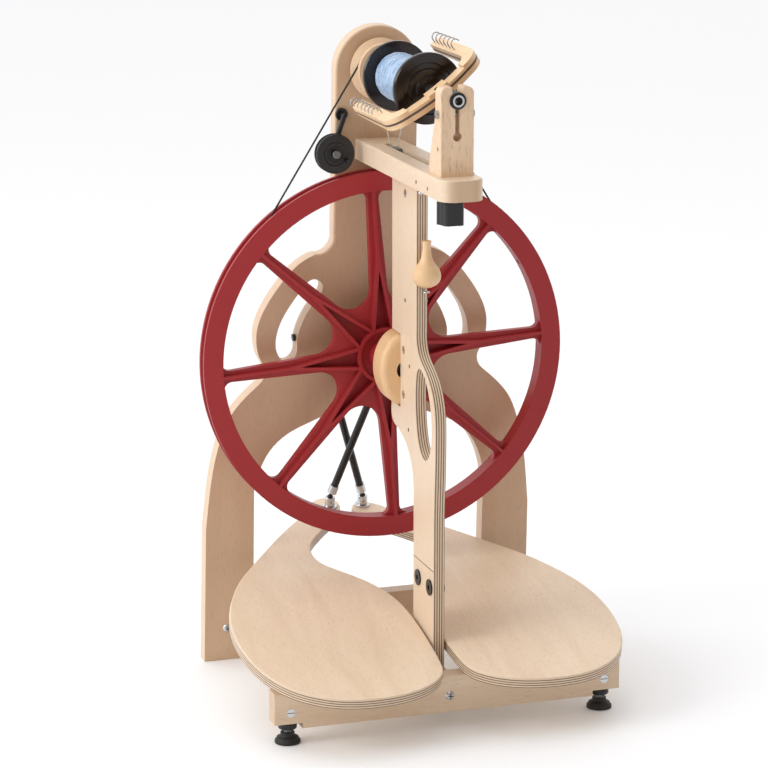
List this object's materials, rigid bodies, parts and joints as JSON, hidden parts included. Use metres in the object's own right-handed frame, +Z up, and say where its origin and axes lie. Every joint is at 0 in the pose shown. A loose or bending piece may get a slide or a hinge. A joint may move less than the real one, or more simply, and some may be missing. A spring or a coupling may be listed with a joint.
{
  "type": "double-treadle castle spinning wheel",
  "caption": "Foot-treadled castle spinning wheel: plywood back board and post, moulded drive wheel below, flyer, whorl and bobbin above, a heart-shaped pair of treadles",
  "frame": {"origin": "centre of the footprint's box, on the floor", "axes": "+Z up, +X to the right as the spinner sees it, the spinner sits on the -Y side"},
  "size_m": [0.4156, 0.4427, 0.7077],
  "materials": {
    "birch_ply": "satin",
    "maple": "satin",
    "red_plastic": "matte",
    "black_plastic": "matte",
    "bobbin_plastic": "satin",
    "steel": "brushed",
    "zinc": "polished",
    "black_steel": "satin",
    "yarn": "matte",
    "cord": "matte",
    "nylon_line": "satin",
    "grey_plastic": "matte",
    "rubber": "matte"
  },
  "bodies": {
    "frame": {"back_board": "birch_ply", "rear_cross_bar": "birch_ply", "dome_screws": "zinc", "front_bar": "maple", "barrel_nuts": "zinc", "lower_post": "birch_ply", "front_post": "birch_ply", "lap_bolts": "black_steel", "hub_block": "maple", "hub_block_bolts": "steel", "front_bearing": "steel", "rear_bearing": "black_plastic", "drive_band": "cord", "mother_of_all": "maple", "moa_bolts": "steel", "brake_bar": "grey_plastic", "brake_spring": "zinc", "brake_cord": "nylon_line", "post_peg": "zinc", "flyer_bush": "black_plastic", "front_maiden": "maple", "maiden_bearing": "black_plastic", "maiden_bolt": "steel", "maiden_stud": "steel", "tension_boss": "black_plastic", "screw_eye": "zinc", "storage_peg": "black_plastic", "treadle_hinges": "steel"},
    "foot_left": {"foot_stem_left": "zinc", "foot_pad_left": "rubber"},
    "foot_right": {"foot_stem_right": "zinc", "foot_pad_right": "rubber"},
    "wheel": {"drive_wheel": "red_plastic", "axle": "steel", "crank_bar": "steel"},
    "flyer": {"flyer_shaft": "steel", "flyer_whorl": "maple", "flyer_arms": "maple", "flyer_hooks": "steel", "orifice": "zinc"},
    "bobbin": {"bobbin": "bobbin_plastic", "bobbin_yarn": "yarn"},
    "knob": {"clamp_knob": "black_plastic"},
    "tensioner": {"tension_arm": "black_steel", "tension_nut": "black_steel"},
    "pulley": {"tension_pulley": "black_plastic", "tension_bearing": "steel"},
    "threading_hook": {"threading_handle": "maple", "threading_wire": "steel"},
    "left_treadle": {"treadle_left": "birch_ply", "treadle_lugs_left": "black_plastic", "treadle_fitting_left": "zinc"},
    "right_treadle": {"treadle_right": "birch_ply", "treadle_lugs_right": "black_plastic", "treadle_fitting_right": "zinc"},
    "left_footman": {"footman_rod_left": "black_plastic", "footman_fittings_left": "zinc"},
    "right_footman": {"footman_rod_right": "black_plastic", "footman_fittings_right": "zinc"}
  },
  "joints": [
    {"name": "drive_wheel_spin", "type": "hinge", "parent": "frame", "child": "wheel", "pos_m": [0, 0.0643, 0.351], "axis": [0, 1, 0], "continuous": true},
    {"name": "flyer_spin", "type": "hinge", "parent": "frame", "child": "flyer", "pos_m": [0, 0.0643, 0.661], "axis": [0, 1, 0], "continuous": true},
    {"name": "bobbin_spin", "type": "hinge", "parent": "flyer", "child": "bobbin", "pos_m": [0, -0.0367, 0.661], "axis": [0, 1, 0], "continuous": true},
    {"name": "clamp_knob_turn", "type": "hinge", "parent": "frame", "child": "knob", "pos_m": [0, -0.1587, 0.546], "axis": [0, 0, 1], "continuous": true},
    {"name": "tensioner_swing", "type": "hinge", "parent": "frame", "child": "tensioner", "pos_m": [-0.04, 0.0813, 0.6126], "axis": [0, 1, 0], "range_deg": [-9, 9]},
    {"name": "tension_pulley_spin", "type": "hinge", "parent": "tensioner", "child": "pulley", "pos_m": [-0.0539, 0.0643, 0.5738], "axis": [0, 1, 0], "continuous": true},
    {"name": "threading_hook_lift", "type": "slide", "parent": "frame", "child": "threading_hook", "axis": [0, 0, 1], "range_m": [0, 0.04]},
    {"name": "foot_left_height", "type": "slide", "parent": "frame", "child": "foot_left", "axis": [0, 0, 1], "range_m": [-0.006, 0]},
    {"name": "foot_right_height", "type": "slide", "parent": "frame", "child": "foot_right", "axis": [0, 0, 1], "range_m": [-0.006, 0]},
    {"name": "treadle_left_rock", "type": "hinge", "parent": "frame", "child": "left_treadle", "pos_m": [-0.1, -0.1547, 0.0604], "axis": [1, 0, 0], "range_deg": [-6.4, 6.4]},
    {"name": "treadle_right_rock", "type": "hinge", "parent": "frame", "child": "right_treadle", "pos_m": [0.1, -0.1547, 0.0604], "axis": [1, 0, 0], "range_deg": [-6.4, 6.4]},
    {"name": "footman_left_bend", "type": "hinge", "parent": "left_treadle", "child": "left_footman", "pos_m": [-0.022, 0.19098, 0.15737], "axis": [1, 0, 0], "range_deg": [-9.73, 9.73]},
    {"name": "footman_right_bend", "type": "hinge", "parent": "right_treadle", "child": "right_footman", "pos_m": [0.022, 0.20727, 0.15129], "axis": [1, 0, 0], "range_deg": [-9.59, 9.59]}
  ],
  "couplings": [
    {"joint": "flyer_spin", "follows": "drive_wheel_spin", "ratio": 7.3566},
    {"joint": "treadle_right_rock", "follows": "treadle_left_rock", "ratio": -1},
    {"joint": "footman_left_bend", "follows": "treadle_left_rock", "ratio": -1.4885},
    {"joint": "footman_right_bend", "follows": "treadle_left_rock", "ratio": 1.4664}
  ]
}
